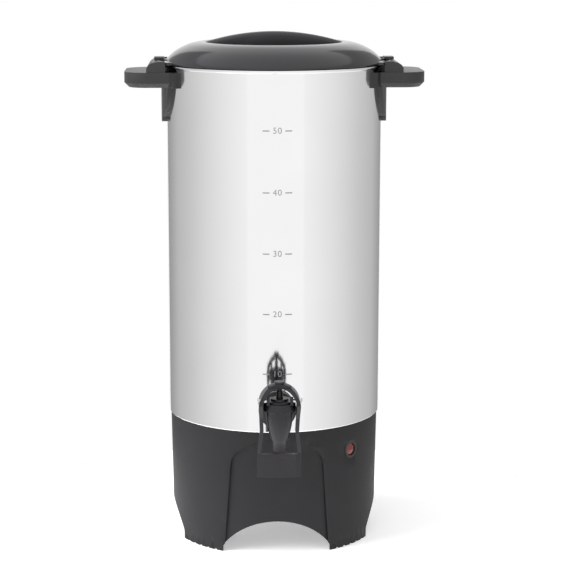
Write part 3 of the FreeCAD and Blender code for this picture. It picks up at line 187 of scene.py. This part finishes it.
@dataclass(frozen=True)
class Finishes:
    """Every finish of the urn."""

    steel: Finish = Finish("polished_steel", (0.90, 0.90, 0.905), tone=0.015, metallic=1.0, roughness=0.1,
                           rough_spread=0.02, grain=Grain.AROUND, grain_per_m=1500.0, relief=0.02)
    inner_steel: Finish = Finish("inner_steel", (0.62, 0.62, 0.62), tone=0.05, metallic=1.0, roughness=0.3)
    brushed: Finish = Finish("brushed_inside", (0.62, 0.62, 0.62), tone=0.04, metallic=0.55, roughness=0.45,
                             grain=Grain.AROUND, grain_per_m=1800.0, relief=0.08)
    etched: Finish = Finish("etched_mark", (0.30, 0.30, 0.31), tone=0.1, metallic=0.6, roughness=0.6,
                            grain_per_m=4000.0, relief=0.3)
    zinc: Finish = Finish("zinc_plate", (0.55, 0.56, 0.58), tone=0.12, metallic=1.0, roughness=0.38)
    sheath: Finish = Finish("element_sheath", (0.16, 0.14, 0.13), tone=0.3, metallic=1.0, roughness=0.5)
    spun: Finish = Finish("spun_aluminium", (0.78, 0.78, 0.78), tone=0.05, metallic=1.0, roughness=0.32,
                          grain=Grain.AROUND, grain_per_m=2500.0, relief=0.1)
    brass: Finish = Finish("plated_pin", (0.66, 0.62, 0.52), tone=0.06, metallic=1.0, roughness=0.25)
    lid_gloss: Finish = Finish("lid_gloss", (0.012, 0.0115, 0.014), tone=0.1, roughness=0.16,
                               rough_spread=0.02, grain_per_m=500.0, relief=0.012, coat=0.3)
    bar: Finish = Finish("lid_bar_texture", (0.027, 0.026, 0.029), tone=0.12, roughness=0.5,
                         grain_per_m=2600.0, relief=0.25)
    grip: Finish = Finish("grip_satin", (0.018, 0.018, 0.0195), tone=0.15, roughness=0.36,
                          grain_per_m=2200.0, relief=0.12)
    tap: Finish = Finish("tap_satin", (0.013, 0.0115, 0.0145), tone=0.15, roughness=0.34, specular=0.4,
                         grain_per_m=2000.0, relief=0.12)
    base: Finish = Finish("base_moulding", (0.0125, 0.012, 0.0135), tone=0.12, roughness=0.55, specular=0.3,
                          grain_per_m=2400.0, relief=0.35)
    bakelite: Finish = Finish("black_phenolic", (0.018, 0.018, 0.019), tone=0.2, roughness=0.4)
    plate: Finish = Finish("plate_paint", (0.05, 0.05, 0.05), tone=0.15, roughness=0.5, relief=0.15)
    lens: Finish = Finish("red_lens", (0.16, 0.010, 0.009), tone=0.08, roughness=0.12, coat=0.5,
                          transmission=0.1)
    bulb: Finish = Finish("neon_glass", (1.0, 0.72, 0.5), tone=0.02, roughness=0.05, transmission=0.9)
    silicone: Finish = Finish("pale_silicone", (0.62, 0.62, 0.60), tone=0.04, roughness=0.6)
    sleeve: Finish = Finish("braid_sleeve", (0.72, 0.69, 0.62), tone=0.1, roughness=0.8,
                            grain_per_m=1800.0, relief=0.6)


FINISH = Finishes()


def new_object(name: str, mesh: bpy.types.Mesh) -> bpy.types.Object:
    """Return a new object at the origin that holds the mesh.

    Args:
        name: name of the piece.
        mesh: its mesh, in metres in the row's frame.

    Returns:
        The object, linked to the scene.
    """
    made = bpy.data.objects.new(name, mesh)
    bpy.context.scene.collection.objects.link(made)
    return made


def smooth(mesh: bpy.types.Mesh, angle_deg: float = SHARP_DEG) -> None:
    """Shade the mesh smooth, with sharp edges past the angle.

    Args:
        mesh: the mesh to shade.
        angle_deg: edges sharper than this stay sharp.
    """
    mesh.shade_smooth()
    mesh.set_sharp_from_angle(angle=math.radians(angle_deg))


def lathe(name: str, profile: Sequence[Point], steps: int = 256, sharp_deg: float = 40.0,
          merge_m: float = 1e-7) -> bpy.types.Object:
    """Turn a profile of (radius, height) about the vessel's axis.

    Args:
        name: name of the piece.
        profile: points in metres, anticlockwise seen with the axis on the left.
        steps: number of sides.
        sharp_deg: edges sharper than this stay sharp.
        merge_m: points closer than this become one.

    Returns:
        The turned piece, smooth apart from its sharp corners.
    """
    vertices = []
    for turn in range(steps):
        angle = math.tau * turn / steps
        for radius, height in profile:
            vertices.append((radius * math.sin(angle), AXIS_Y - radius * math.cos(angle), height))
    rows = len(profile)
    faces = []
    for turn in range(steps):
        here, there = turn * rows, (turn + 1) % steps * rows
        for row in range(rows):
            above = (row + 1) % rows
            faces.append((here + row, there + row, there + above, here + above))
    mesh = bpy.data.meshes.new(name)
    mesh.from_pydata(vertices, [], faces)
    work = bmesh.new()
    work.from_mesh(mesh)
    bmesh.ops.remove_doubles(work, verts=work.verts, dist=merge_m)
    bmesh.ops.recalc_face_normals(work, faces=work.faces)
    work.to_mesh(mesh)
    work.free()
    smooth(mesh, sharp_deg)
    return new_object(name, mesh)


def arc(centre: Point, radius: float, start_deg: float, end_deg: float, steps: int) -> list[Point]:
    """Return points along an arc in the profile plane.

    Args:
        centre: its centre, as (radius, height).
        radius: its radius.
        start_deg: angle of its first point.
        end_deg: angle of its last point.
        steps: number of chords.

    Returns:
        The points, both ends included.
    """
    turns = [math.radians(start_deg + (end_deg - start_deg) * step / steps) for step in range(steps + 1)]
    return [(centre[0] + radius * math.cos(turn), centre[1] + radius * math.sin(turn)) for turn in turns]


def wrap(point: Vector, radius: float) -> Vector:
    """Bend a flat front point onto the vessel's curve.

    Args:
        point: its x runs along the curve and its z is the height.
        radius: radius of the curve it lands on.

    Returns:
        The bent point.
    """
    angle = point.x / VESSEL_R
    return Vector((radius * math.sin(angle), AXIS_Y - radius * math.cos(angle), point.z))


def body_of_node(node: str) -> str:
    """Find the body that holds a node.

    Args:
        node: name of the node.

    Returns:
        The body's name.
    """
    bodies = frame["record"]["behaviour"]["bodies"]
    return next(body for body, nodes in bodies.items() if node in nodes)


def paint(target: bpy.types.Object, finish: Finish) -> None:
    """Give the object the finish in its only slot.

    Args:
        target: the object to paint.
        finish: its finish.
    """
    target.data.materials.clear()
    target.data.materials.append(finish.material())


def stand_for(piece: bpy.types.Object, node: str, finish: Finish) -> None:
    """Paint a piece and let it stand for a node of the frame.

    Args:
        piece: the finished piece.
        node: the node whose place it takes.
        finish: its finish.
    """
    paint(piece, finish)
    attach(piece, body_of_node(node))
    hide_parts(node)
    LOG.info("%s stands for %s", piece.name, node)


def softened(node: str, bevel_mm: float) -> bpy.types.Object:
    """Return a merged, smooth-shaded copy of a node with slightly broken edges.

    Args:
        node: the node to copy.
        bevel_mm: width of the broken edges, or 0 for none.

    Returns:
        The new piece, in the same place.
    """
    mesh = frame["nodes"][node].data.copy()
    work = bmesh.new()
    work.from_mesh(mesh)
    bmesh.ops.remove_doubles(work, verts=work.verts, dist=MERGE_M)
    bmesh.ops.dissolve_degenerate(work, edges=work.edges, dist=MERGE_M)
    work.to_mesh(mesh)
    work.free()
    smooth(mesh)
    piece = new_object(node + "_surface", mesh)
    if bevel_mm:
        edge = piece.modifiers.new("broken_edges", "BEVEL")
        edge.width = bevel_mm * MM
        edge.segments = BEVEL_STEPS
        edge.limit_method = "ANGLE"
        edge.angle_limit = math.radians(SHARP_DEG)
        edge.harden_normals = True
    return piece


@dataclass
class Vessel:
    """The polished vessel with its rolled rim and level marks."""

    floor_z: float = 111.7 * MM
    rim_z: float = 424.0 * MM
    wall: float = 0.8 * MM
    bead_r: float = 1.6 * MM
    corner_r: float = 1.2 * MM
    well_r: float = 20.2 * MM
    bead_drop: float = 3.0 * MM
    bead_start_deg: float = -75.0
    bead_end_deg: float = 255.0
    wall_rows: int = 24
    first_mark_z: float = 164.0 * MM
    mark_step: float = 52.35 * MM
    mark_count: int = 5
    digit_h: float = 5.2 * MM
    dash_w: float = 5.8 * MM
    dash_h: float = 0.95 * MM
    dash_out: float = 9.6 * MM
    mark_t: float = 0.06 * MM
    cups_per_mark: int = 10
    digit_share: float = 0.7
    digit_gap: float = 1.12
    skin_slack: float = 0.05 * MM

    def build(self) -> None:
        """Build the skin and the marks."""
        self._skin()
        self._dashes()
        self._digits()

    def _skin(self) -> None:
        """Turn the vessel's wall, floor and rolled rim."""
        middle = VESSEL_R - self.wall / 2
        bead_z = self.rim_z - self.bead_r
        inner = VESSEL_R - self.wall
        corner, small = self.corner_r, self.corner_r - self.wall
        profile = [(self.well_r, self.floor_z)]
        profile += arc((VESSEL_R - corner, self.floor_z + corner), corner, -90, 0, 12)
        profile += [(VESSEL_R, self.floor_z + corner + (bead_z - self.floor_z - corner) * part / self.wall_rows)
                    for part in range(1, self.wall_rows)]
        profile += arc((middle, bead_z), self.bead_r, self.bead_start_deg, self.bead_end_deg, 28)
        profile += [(inner, bead_z - self.bead_drop), (inner, self.floor_z + self.wall + small)]
        profile += arc((inner - small, self.floor_z + self.wall + small), small, 0, -90, 8)
        profile += [(self.well_r, self.floor_z + self.wall)]
        skin = lathe("vessel_skin", profile)
        stand_for(skin, "vessel", FINISH.steel)
        skin.data.materials.append(FINISH.brushed.material())
        for face in skin.data.polygons:
            out = Vector((face.center.x, face.center.y - AXIS_Y, 0.0))
            inside = out.length < inner + self.skin_slack and face.center.z > self.floor_z + 2 * self.skin_slack
            if inside and face.center.z < bead_z - self.bead_r:
                face.material_index = 1

    def _dashes(self) -> None:
        """Repeat the mark dashes up the front with a geometry node tree."""
        tree = bpy.data.node_groups.new("level_dashes", "GeometryNodeTree")
        face = tree.interface
        face.new_socket("Geometry", in_out="INPUT", socket_type="NodeSocketGeometry")
        face.new_socket("Geometry", in_out="OUTPUT", socket_type="NodeSocketGeometry")
        sizes = {"Rows": self.mark_count, "Step": self.mark_step, "First Height": self.first_mark_z,
                 "Dash Width": self.dash_w, "Dash Height": self.dash_h, "Half Gap": self.dash_out,
                 "Radius": VESSEL_R + self.mark_t}
        sockets = {}
        for name, value in sizes.items():
            kind = "NodeSocketInt" if isinstance(value, int) else "NodeSocketFloat"
            sockets[name] = face.new_socket(name, in_out="INPUT", socket_type=kind)
        self._dash_nodes(tree)
        carrier = new_object("level_dashes", bpy.data.meshes.new("level_dashes_seed"))
        modifier = carrier.modifiers.new("level_dashes", "NODES")
        modifier.node_group = tree
        for name, value in sizes.items():
            modifier[sockets[name].identifier] = value
        carrier.update_tag()
        depsgraph = bpy.context.evaluated_depsgraph_get()
        plain = bpy.data.meshes.new_from_object(carrier.evaluated_get(depsgraph))
        carrier.modifiers.clear()
        carrier.data = plain
        carrier.data.transform(Matrix.Translation((0.0, AXIS_Y, 0.0)))
        smooth(carrier.data)
        paint(carrier, FINISH.etched)
        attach(carrier, body_of_node("vessel"))
        LOG.info("%d dash faces", len(carrier.data.polygons))

    def _dash_nodes(self, tree: bpy.types.NodeTree) -> None:
        """Fill the tree: rows of points, a dash each side, bent onto the vessel.

        Args:
            tree: the empty tree, with its interface in place.
        """
        nodes, links = tree.nodes, tree.links
        given = nodes.new("NodeGroupInput")
        out = nodes.new("NodeGroupOutput")
        start = nodes.new("ShaderNodeCombineXYZ")
        offset = nodes.new("ShaderNodeCombineXYZ")
        rows = nodes.new("GeometryNodeMeshLine")
        links.new(given.outputs["First Height"], start.inputs["Z"])
        links.new(given.outputs["Step"], offset.inputs["Z"])
        links.new(given.outputs["Rows"], rows.inputs["Count"])
        links.new(start.outputs["Vector"], rows.inputs["Start Location"])
        links.new(offset.outputs["Vector"], rows.inputs["Offset"])
        dash = nodes.new("GeometryNodeMeshGrid")
        dash.inputs["Vertices X"].default_value = 9
        dash.inputs["Vertices Y"].default_value = 3
        links.new(given.outputs["Dash Width"], dash.inputs["Size X"])
        links.new(given.outputs["Dash Height"], dash.inputs["Size Y"])
        stand = nodes.new("GeometryNodeTransform")
        stand.inputs["Rotation"].default_value = (math.pi / 2, 0.0, 0.0)
        links.new(dash.outputs["Mesh"], stand.inputs["Geometry"])
        join = nodes.new("GeometryNodeJoinGeometry")
        for side in (-1.0, 1.0):
            amount = nodes.new("ShaderNodeMath")
            amount.operation = "MULTIPLY"
            amount.inputs[1].default_value = side
            links.new(given.outputs["Half Gap"], amount.inputs[0])
            place = nodes.new("ShaderNodeCombineXYZ")
            links.new(amount.outputs["Value"], place.inputs["X"])
            shift = nodes.new("GeometryNodeTransform")
            links.new(stand.outputs["Geometry"], shift.inputs["Geometry"])
            links.new(place.outputs["Vector"], shift.inputs["Translation"])
            links.new(shift.outputs["Geometry"], join.inputs["Geometry"])
        repeat = nodes.new("GeometryNodeInstanceOnPoints")
        links.new(rows.outputs["Mesh"], repeat.inputs["Points"])
        links.new(join.outputs["Geometry"], repeat.inputs["Instance"])
        real = nodes.new("GeometryNodeRealizeInstances")
        links.new(repeat.outputs["Instances"], real.inputs["Geometry"])
        bent = self._bend_nodes(nodes, links, given, real.outputs["Geometry"])
        finish = nodes.new("GeometryNodeSetMaterial")
        finish.inputs["Material"].default_value = FINISH.etched.material()
        links.new(bent, finish.inputs["Geometry"])
        links.new(finish.outputs["Geometry"], out.inputs["Geometry"])

    def _bend_nodes(self, nodes: bpy.types.Nodes, links: bpy.types.NodeLinks, given: bpy.types.Node,
                    flat: bpy.types.NodeSocket) -> bpy.types.NodeSocket:
        """Bend a flat front plate onto the vessel's radius.

        Args:
            nodes: the tree's nodes.
            links: the tree's links.
            given: the tree's input node.
            flat: the flat geometry.

        Returns:
            The bent geometry.
        """
        here = nodes.new("GeometryNodeInputPosition")
        parts = nodes.new("ShaderNodeSeparateXYZ")
        links.new(here.outputs["Position"], parts.inputs["Vector"])
        angle = nodes.new("ShaderNodeMath")
        angle.operation = "DIVIDE"
        links.new(parts.outputs["X"], angle.inputs[0])
        links.new(given.outputs["Radius"], angle.inputs[1])
        back = nodes.new("ShaderNodeMath")
        back.operation = "MULTIPLY"
        back.inputs[1].default_value = -1.0
        links.new(given.outputs["Radius"], back.inputs[0])
        whole = nodes.new("ShaderNodeCombineXYZ")
        links.new(parts.outputs["Z"], whole.inputs["Z"])
        reaches = {"X": ("SINE", given.outputs["Radius"]), "Y": ("COSINE", back.outputs["Value"])}
        for way, (turn, reach) in reaches.items():
            wave = nodes.new("ShaderNodeMath")
            wave.operation = turn
            links.new(angle.outputs["Value"], wave.inputs[0])
            scaled = nodes.new("ShaderNodeMath")
            scaled.operation = "MULTIPLY"
            links.new(wave.outputs["Value"], scaled.inputs[0])
            links.new(reach, scaled.inputs[1])
            links.new(scaled.outputs["Value"], whole.inputs[way])
        move = nodes.new("GeometryNodeSetPosition")
        links.new(flat, move.inputs["Geometry"])
        links.new(whole.outputs["Vector"], move.inputs["Position"])
        return move.outputs["Geometry"]

    def _digits(self) -> None:
        """Write the cup numbers between the dashes."""
        for row in range(self.mark_count):
            number = str(self.cups_per_mark * (row + 1))
            curve = bpy.data.curves.new("mark_" + number, "FONT")
            curve.body = number
            curve.align_x = "CENTER"
            curve.align_y = "CENTER"
            curve.size = self.digit_h / self.digit_share
            curve.space_character = self.digit_gap
            text = new_object("mark_text_" + number, curve)
            depsgraph = bpy.context.evaluated_depsgraph_get()
            mesh = bpy.data.meshes.new_from_object(text.evaluated_get(depsgraph))
            bpy.data.objects.remove(text)
            height = self.first_mark_z + self.mark_step * row
            for vertex in mesh.vertices:
                flat = Vector((vertex.co.x, 0.0, vertex.co.y + height))
                vertex.co = wrap(flat, VESSEL_R + self.mark_t)
            piece = new_object("mark_" + number, mesh)
            paint(piece, FINISH.etched)
            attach(piece, body_of_node("vessel"))


@dataclass
class Surfaces:
    """The moulded and spun pieces, as smooth copies with broken edges.

    Args:
        pieces: for each node, the width of its broken edges in millimetres and its finish.
    """

    pieces: dict[str, tuple[float, Finish]] = field(default_factory=lambda: {
        "base_shell": (0.5, FINISH.base), "grip_left": (0.6, FINISH.grip), "grip_right": (0.6, FINISH.grip),
        "tap_body": (0.3, FINISH.tap), "tap_bonnet": (0.3, FINISH.tap), "tap_lever": (0.0, FINISH.tap),
        "lid_dome": (0.25, FINISH.lid_gloss), "lid_bar": (0.0, FINISH.bar),
        "lamp_bezel": (0.15, FINISH.bakelite), "lamp_lens": (0.0, FINISH.lens),
        "inlet_housing": (0.3, FINISH.bakelite), "basket_cover": (0.0, FINISH.spun),
        "coffee_basket": (0.0, FINISH.spun), "pump_tube": (0.0, FINISH.spun), "tap_nut": (0.2, FINISH.tap)})

    def build(self) -> None:
        """Build each surface and let it stand for its node."""
        for node, (width, finish) in self.pieces.items():
            stand_for(softened(node, width), node, finish)


@dataclass
class InnerPieces:
    """Pieces that keep the frame's own mesh and only get their finish, most of them out of sight."""

    def build(self) -> None:
        """Paint each inner node."""
        groups = {
            FINISH.inner_steel: ("heating_well", "thermal_fuse", "grip_screws", "lever_pins", "lid_screw"),
            FINISH.sheath: ("heating_element",),
            FINISH.tap: ("valve_stem",),
            FINISH.zinc: ("element_clamp", "clamp_nut", "centre_stud", "thermostat_clip", "fuse_clip",
                          "base_nut", "lamp_clip"),
            FINISH.bakelite: ("thermostat",),
            FINISH.plate: ("base_plate",),
            FINISH.brass: ("inlet_pins",),
            FINISH.sleeve: ("live_lead", "neutral_lead"),
            FINISH.bulb: ("lamp_bulb",),
            FINISH.silicone: ("tap_washer_outer", "tap_washer_inner", "seat_cup"),
        }
        for finish, names in groups.items():
            for name in names:
                paint(frame["nodes"][name], finish)
        LOG.info("painted the inner pieces")


@dataclass
class Studio:
    """Pale floor, soft lights, white surroundings and the camera.

    The camera's numbers come from fitting the vessel's outline in the photograph.
    """

    distance: float = 1633.4 * MM
    height: float = 530.5 * MM
    pitch_deg: float = 10.666
    azimuth_deg: float = -1.785
    focal_px: float = 1838.0
    frame_px: float = 573.0
    axis_px: float = 273.9
    sensor_mm: float = 36.0
    floor_r: float = 0.3
    floor_sides: int = 128
    card_r: float = 2.4
    card_from_deg: float = 30.0
    card_sweep_deg: float = 130.0
    card_steps: int = 32
    card_low: float = -1.0
    card_high: float = 2.6
    aim_z: float = 0.25
    clip_end: float = 20.0
    floor_glow: float = 0.4

    def build(self) -> None:
        """Set up the whole studio."""
        self._camera()
        self._world()
        self._floor()
        self._cards()
        self._lamp("key", (-1.6, -0.35, 0.9), 1.6, 60.0)
        self._lamp("fill", (1.2, -0.9, 0.8), 1.2, 1.5)
        self._lamp("top", (0.0, 0.1, 1.6), 0.9, 2.5)
        bpy.context.scene.view_settings.view_transform = "Standard"

    def _camera(self) -> None:
        """Place the camera."""
        data = bpy.data.cameras.new("camera")
        data.sensor_width = self.sensor_mm
        data.lens = self.focal_px / self.frame_px * self.sensor_mm
        data.shift_x = (self.frame_px / 2 - self.axis_px) / self.frame_px
        data.clip_end = self.clip_end
        camera = bpy.data.objects.new("camera", data)
        bpy.context.scene.collection.objects.link(camera)
        turn = math.radians(self.azimuth_deg)
        across, along = self.distance * math.sin(turn), self.distance * math.cos(turn)
        camera.location = (across, AXIS_Y - along, self.height)
        camera.rotation_euler = (math.radians(90.0 - self.pitch_deg), 0.0, turn)
        bpy.context.scene.camera = camera

    def _world(self) -> None:
        """White wherever it is seen or mirrored, with graded greys for the light that it gives."""
        world = bpy.data.worlds.new("studio")
        bpy.context.scene.world = world
        world.use_nodes = True
        nodes, links = world.node_tree.nodes, world.node_tree.links
        out = nodes["World Output"]
        soft = nodes["Background"]
        links.new(self._graded(nodes, links, "Generated", 1.0), soft.inputs["Color"])
        white = nodes.new("ShaderNodeBackground")
        white.inputs["Color"].default_value = (1.0, 1.0, 1.0, 1.0)
        path = nodes.new("ShaderNodeLightPath")
        mix = nodes.new("ShaderNodeMixShader")
        seen = path.outputs["Is Camera Ray"]
        for name in ("Is Glossy Ray", "Is Transmission Ray"):
            both = nodes.new("ShaderNodeMath")
            both.operation = "MAXIMUM"
            links.new(seen, both.inputs[0])
            links.new(path.outputs[name], both.inputs[1])
            seen = both.outputs["Value"]
        links.new(seen, mix.inputs["Fac"])
        links.new(soft.outputs["Background"], mix.inputs[1])
        links.new(white.outputs["Background"], mix.inputs[2])
        links.new(mix.outputs["Shader"], out.inputs["Surface"])

    def _cards(self) -> None:
        """Stand a curved grey card on each side, out of the camera's view, for the steel to mirror."""
        made = bpy.data.materials.new("grey_card")
        made.use_nodes = True
        nodes, links = made.node_tree.nodes, made.node_tree.links
        shader = nodes["Principled BSDF"]
        shader.inputs["Base Color"].default_value = (0.0, 0.0, 0.0, 1.0)
        shader.inputs["Specular IOR Level"].default_value = 0.0
        shader.inputs["Emission Strength"].default_value = 1.0
        links.new(self._graded(nodes, links, "Object", self.card_r), shader.inputs["Emission Color"])
        for side in (-1, 1):
            turns = [math.radians(self.card_from_deg + self.card_sweep_deg * step / self.card_steps)
                     for step in range(self.card_steps + 1)]
            ring = [(side * self.card_r * math.sin(turn), -self.card_r * math.cos(turn)) for turn in turns]
            points = [(x, y, height) for x, y in ring for height in (self.card_low, self.card_high)]
            faces = [(2 * step, 2 * step + 2, 2 * step + 3, 2 * step + 1) for step in range(self.card_steps)]
            mesh = bpy.data.meshes.new("card")
            mesh.from_pydata(points, [], faces)
            mesh.materials.append(made)
            card = new_object("card_left" if side < 0 else "card_right", mesh)

    def _graded(self, nodes: bpy.types.Nodes, links: bpy.types.NodeLinks, source: str,
                half: float) -> bpy.types.NodeSocket:
        """Grade greys from the front to the back.

        Args:
            nodes: nodes of the material or world.
            links: links of the material or world.
            source: name of the coordinates to read.
            half: the Y coordinate at the back, and less at the front.

        Returns:
            The graded colour.
        """
        place = nodes.new("ShaderNodeTexCoord")
        parts = nodes.new("ShaderNodeSeparateXYZ")
        links.new(place.outputs[source], parts.inputs["Vector"])
        spread = nodes.new("ShaderNodeMapRange")
        spread.inputs["From Min"].default_value = -half
        spread.inputs["From Max"].default_value = half
        links.new(parts.outputs["Y"], spread.inputs["Value"])
        ramp = nodes.new("ShaderNodeValToRGB")
        links.new(spread.outputs["Result"], ramp.inputs["Fac"])
        front, back = ramp.color_ramp.elements
        front.position, front.color = 0.0, (1.0, 1.0, 1.0, 1.0)
        back.position, back.color = 1.0, (0.3, 0.3, 0.31, 1.0)
        for position, level in STUDIO_GREYS:
            ramp.color_ramp.elements.new(position).color = (level, level, level, 1.0)
        return ramp.outputs["Color"]

    def _floor(self) -> None:
        """Lay a pale round floor, small enough that the steel does not mirror it."""
        turns = [math.tau * step / self.floor_sides for step in range(self.floor_sides)]
        edge = [(self.floor_r * math.cos(turn), self.floor_r * math.sin(turn), 0.0) for turn in turns]
        mesh = bpy.data.meshes.new("floor")
        mesh.from_pydata(edge, [], [tuple(range(len(edge)))])
        floor = new_object("floor", mesh)
        paint(floor, Finish("pale_floor", (0.94, 0.94, 0.94), tone=0.01, roughness=0.7, relief=0.0,
                            glow=self.floor_glow))

    def _lamp(self, name: str, place: tuple[float, float, float], size: float, power: float) -> None:
        """Hang a soft square lamp aimed at the middle of the urn.

        Args:
            name: name of the lamp.
            place: its position in metres.
            size: its side in metres.
            power: its power in watts.
        """
        data = bpy.data.lights.new(name, "AREA")
        data.shape = "SQUARE"
        data.size = size
        data.energy = power
        lamp = bpy.data.objects.new(name, data)
        bpy.context.scene.collection.objects.link(lamp)
        lamp.location = place
        lamp.visible_glossy = False
        aim = Vector((0.0, AXIS_Y, self.aim_z)) - Vector(place)
        lamp.rotation_euler = aim.to_track_quat("-Z", "Y").to_euler()


def main() -> None:
    """Build every sub-assembly and the studio."""
    logging.basicConfig(level=logging.INFO)
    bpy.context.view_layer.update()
    Vessel().build()
    Surfaces().build()
    InnerPieces().build()
    Studio().build()


if __name__ == "__main__":
    main()
